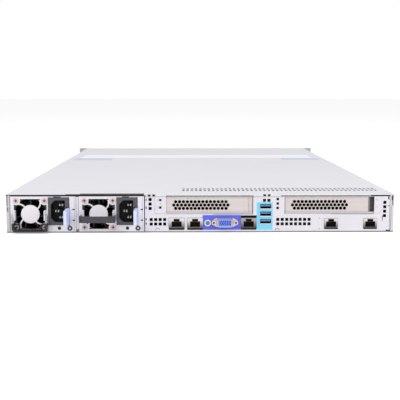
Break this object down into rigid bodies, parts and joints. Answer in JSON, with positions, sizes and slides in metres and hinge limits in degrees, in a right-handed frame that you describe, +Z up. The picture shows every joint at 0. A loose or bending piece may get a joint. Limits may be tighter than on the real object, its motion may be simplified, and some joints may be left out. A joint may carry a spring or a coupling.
{
  "type": "rack server",
  "caption": "Low rack-mount server with sliding power supplies, drive carriers, spinning fans, rear ports and a sliding top cover.",
  "frame": {"origin": "the middle of the chassis floor's underside", "axes": "+X to the right as seen from behind, +Y from the rear face to the front, +Z up"},
  "size_m": [0.4826, 0.8147, 0.0436],
  "materials": {
    "galvanised_steel": "satin",
    "cover_steel": "satin",
    "warm_steel": "satin",
    "pale_blue_plastic": "satin",
    "dark_plastic": "satin",
    "black_plastic": "satin",
    "supply_metal": "satin",
    "circuit_board": "satin",
    "drive_aluminium": "satin",
    "cooler_aluminium": "satin",
    "port_blue": "satin",
    "port_nickel": "satin",
    "flange_brass": "satin",
    "teal_button": "satin",
    "ear_grey": "satin",
    "carrier_plastic": "satin"
  },
  "bodies": {
    "root": {"chassis_pan": "galvanised_steel", "rear_panel": "galvanised_steel", "front_cover": "cover_steel", "access_panel": "cover_steel", "rack_ear_left": "ear_grey", "rack_ear_right": "ear_grey", "front_frame": "galvanised_steel", "drive_cage": "galvanised_steel", "drive_backplane": "circuit_board", "motherboard": "circuit_board", "heatsinks": "cooler_aluminium", "memory_modules": "circuit_board", "fan_frames": "black_plastic", "serial_jack": "dark_plastic", "lan_jacks": "port_nickel", "vga_shell": "flange_brass", "vga_insert": "port_blue", "usb_shells": "port_nickel", "usb_tongues": "port_blue", "slot_covers": "warm_steel", "riser_brackets": "galvanised_steel", "riser_cards": "circuit_board", "psu_bay_walls": "galvanised_steel"},
    "cover": {"rear_cover": "cover_steel", "cover_grips": "pale_blue_plastic"},
    "supply_1": {"psu_1_case": "supply_metal", "psu_1_guard": "supply_metal", "psu_1_fan_frame": "black_plastic", "psu_1_inlet": "dark_plastic", "psu_1_inlet_pins": "port_nickel"},
    "supply_1_handle": {"psu_1_handle": "dark_plastic"},
    "supply_1_latch": {"psu_1_latch": "pale_blue_plastic"},
    "supply_1_rotor": {"psu_1_fan_rotor": "black_plastic"},
    "supply_2": {"psu_2_case": "supply_metal", "psu_2_guard": "supply_metal", "psu_2_fan_frame": "black_plastic", "psu_2_inlet": "dark_plastic", "psu_2_inlet_pins": "port_nickel"},
    "supply_2_handle": {"psu_2_handle": "dark_plastic"},
    "supply_2_latch": {"psu_2_latch": "pale_blue_plastic"},
    "supply_2_rotor": {"psu_2_fan_rotor": "black_plastic"},
    "fan_1": {"fan_rotor_1": "black_plastic"},
    "fan_2": {"fan_rotor_2": "black_plastic"},
    "fan_3": {"fan_rotor_3": "black_plastic"},
    "fan_4": {"fan_rotor_4": "black_plastic"},
    "fan_5": {"fan_rotor_5": "black_plastic"},
    "carrier_1": {"drive_carrier_1": "carrier_plastic", "hard_drive_1": "drive_aluminium"},
    "lever_1": {"carrier_lever_1": "carrier_plastic"},
    "carrier_2": {"drive_carrier_2": "carrier_plastic", "hard_drive_2": "drive_aluminium"},
    "lever_2": {"carrier_lever_2": "carrier_plastic"},
    "carrier_3": {"drive_carrier_3": "carrier_plastic", "hard_drive_3": "drive_aluminium"},
    "lever_3": {"carrier_lever_3": "carrier_plastic"},
    "carrier_4": {"drive_carrier_4": "carrier_plastic", "hard_drive_4": "drive_aluminium"},
    "lever_4": {"carrier_lever_4": "carrier_plastic"},
    "power_button": {"power_button": "teal_button"},
    "id_button": {"id_button": "teal_button"}
  },
  "joints": [
    {"name": "cover_slide", "type": "slide", "parent": "root", "child": "cover", "axis": [0, -1, 0], "range_m": [0, 0.012]},
    {"name": "supply_1_slide", "type": "slide", "parent": "root", "child": "supply_1", "axis": [0, -1, 0], "range_m": [0, 0.2]},
    {"name": "supply_1_handle_hinge", "type": "hinge", "parent": "supply_1", "child": "supply_1_handle", "pos_m": [-0.1917, -0.3991, 0.018], "axis": [1, 0, 0], "range_deg": [-90, 0]},
    {"name": "supply_1_latch_hinge", "type": "hinge", "parent": "supply_1", "child": "supply_1_latch", "pos_m": [-0.1492, -0.3877, 0.0085], "axis": [0, 0, 1], "range_deg": [-7, 0], "stiffness_Nm_per_rad": 0.15},
    {"name": "supply_1_fan_spin", "type": "hinge", "parent": "supply_1", "child": "supply_1_rotor", "pos_m": [-0.1917, -0.3897, 0.0214], "axis": [0, 1, 0], "continuous": true},
    {"name": "supply_2_slide", "type": "slide", "parent": "root", "child": "supply_2", "axis": [0, -1, 0], "range_m": [0, 0.2]},
    {"name": "supply_2_handle_hinge", "type": "hinge", "parent": "supply_2", "child": "supply_2_handle", "pos_m": [-0.1149, -0.3991, 0.018], "axis": [1, 0, 0], "range_deg": [0, 90]},
    {"name": "supply_2_latch_hinge", "type": "hinge", "parent": "supply_2", "child": "supply_2_latch", "pos_m": [-0.0724, -0.3877, 0.0085], "axis": [0, 0, 1], "range_deg": [-7, 0], "stiffness_Nm_per_rad": 0.15},
    {"name": "supply_2_fan_spin", "type": "hinge", "parent": "supply_2", "child": "supply_2_rotor", "pos_m": [-0.1149, -0.3897, 0.0214], "axis": [0, 1, 0], "continuous": true},
    {"name": "fan_1_spin", "type": "hinge", "parent": "root", "child": "fan_1", "pos_m": [-0.168, 0.035, 0.021], "axis": [0, 1, 0], "continuous": true},
    {"name": "fan_2_spin", "type": "hinge", "parent": "root", "child": "fan_2", "pos_m": [-0.084, 0.035, 0.021], "axis": [0, 1, 0], "continuous": true},
    {"name": "fan_3_spin", "type": "hinge", "parent": "root", "child": "fan_3", "pos_m": [0, 0.035, 0.021], "axis": [0, 1, 0], "continuous": true},
    {"name": "fan_4_spin", "type": "hinge", "parent": "root", "child": "fan_4", "pos_m": [0.084, 0.035, 0.021], "axis": [0, 1, 0], "continuous": true},
    {"name": "fan_5_spin", "type": "hinge", "parent": "root", "child": "fan_5", "pos_m": [0.168, 0.035, 0.021], "axis": [0, 1, 0], "continuous": true},
    {"name": "carrier_1_slide", "type": "slide", "parent": "root", "child": "carrier_1", "axis": [0, 1, 0], "range_m": [0, 0.155]},
    {"name": "lever_1_hinge", "type": "hinge", "parent": "carrier_1", "child": "lever_1", "pos_m": [-0.11175, 0.3915, 0.015], "axis": [0, 0, 1], "range_deg": [-55, 0]},
    {"name": "carrier_2_slide", "type": "slide", "parent": "root", "child": "carrier_2", "axis": [0, 1, 0], "range_m": [0, 0.155]},
    {"name": "lever_2_hinge", "type": "hinge", "parent": "carrier_2", "child": "lever_2", "pos_m": [-0.00685, 0.3915, 0.015], "axis": [0, 0, 1], "range_deg": [-55, 0]},
    {"name": "carrier_3_slide", "type": "slide", "parent": "root", "child": "carrier_3", "axis": [0, 1, 0], "range_m": [0, 0.155]},
    {"name": "lever_3_hinge", "type": "hinge", "parent": "carrier_3", "child": "lever_3", "pos_m": [0.09805, 0.3915, 0.015], "axis": [0, 0, 1], "range_deg": [-55, 0]},
    {"name": "carrier_4_slide", "type": "slide", "parent": "root", "child": "carrier_4", "axis": [0, 1, 0], "range_m": [0, 0.155]},
    {"name": "lever_4_hinge", "type": "hinge", "parent": "carrier_4", "child": "lever_4", "pos_m": [0.20295, 0.3915, 0.015], "axis": [0, 0, 1], "range_deg": [-55, 0]},
    {"name": "power_button_press", "type": "slide", "parent": "root", "child": "power_button", "axis": [0, -1, 0], "range_m": [0, 0.0012], "stiffness_N_per_m": 800},
    {"name": "id_button_press", "type": "slide", "parent": "root", "child": "id_button", "axis": [0, 1, 0], "range_m": [0, 0.0006], "stiffness_N_per_m": 1500}
  ]
}
